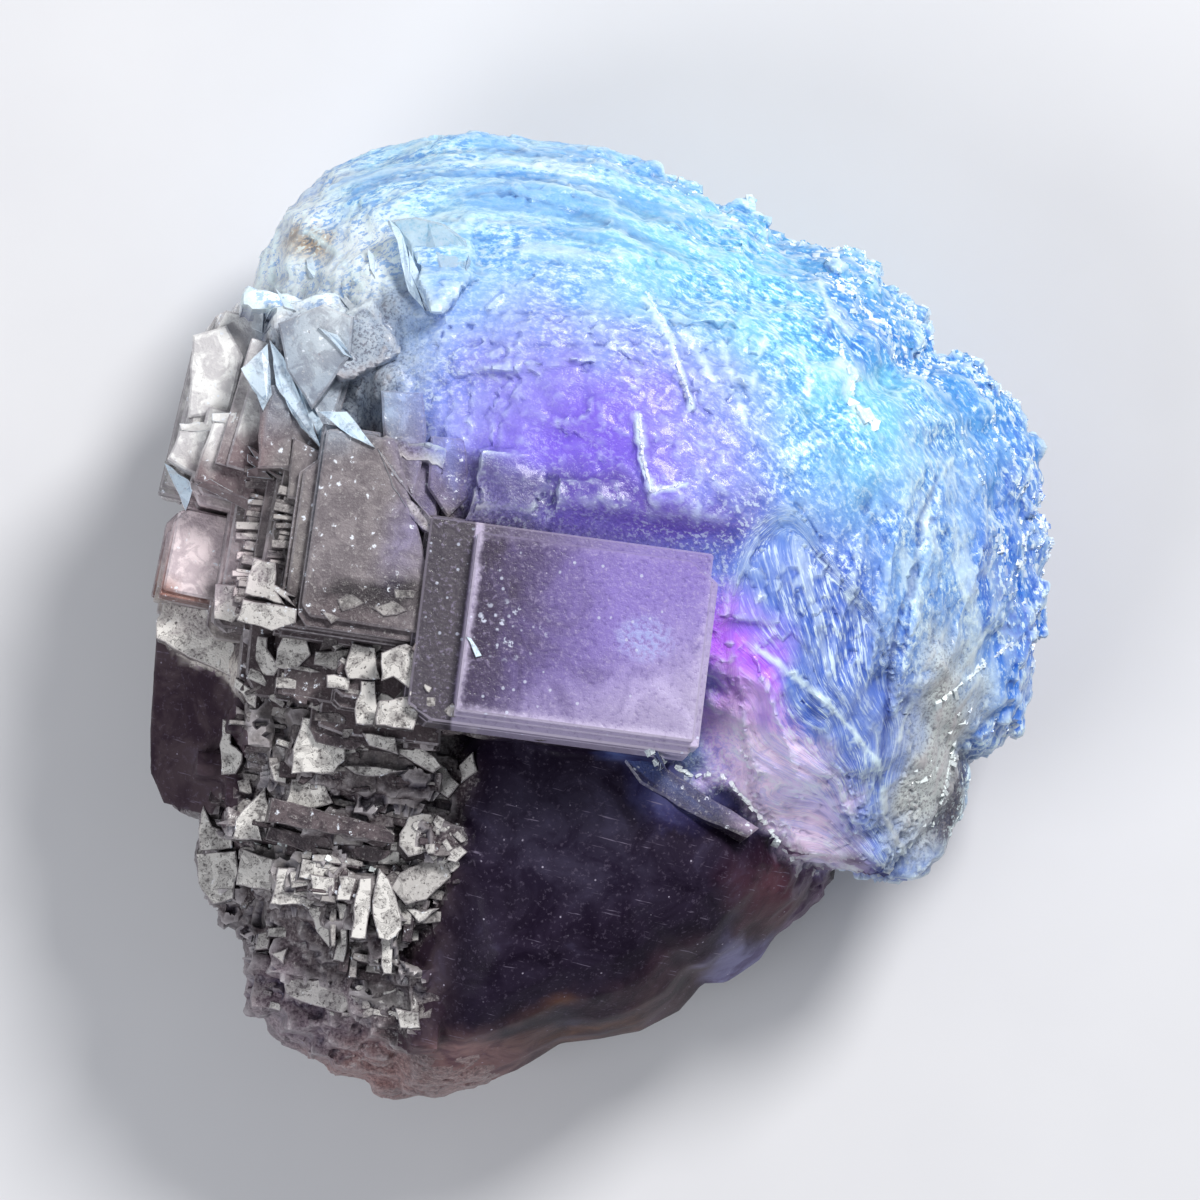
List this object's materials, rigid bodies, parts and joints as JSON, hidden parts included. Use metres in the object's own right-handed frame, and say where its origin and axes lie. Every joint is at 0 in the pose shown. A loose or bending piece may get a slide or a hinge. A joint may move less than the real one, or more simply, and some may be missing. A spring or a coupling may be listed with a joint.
{
  "type": "fluorite specimen",
  "caption": "Loose cluster of purple and blue fluorite: stepped square crystals, a ribbed blue mass and a smooth dark lobe, cut flat at the back to lie on a surface.",
  "frame": {"origin": "centre of the footprint, on the flat cut that the specimen lies on", "axes": "+Z out of the crystals, away from the flat cut; +Y along the longest side towards the blue end; +X towards the ribbed flank"},
  "size_m": [0.0653, 0.0701, 0.0421],
  "materials": {
    "fluorite": "vitreous to frosted, purple to sky blue"
  },
  "bodies": {
    "root": {"fluorite_cluster": "fluorite"}
  },
  "joints": []
}
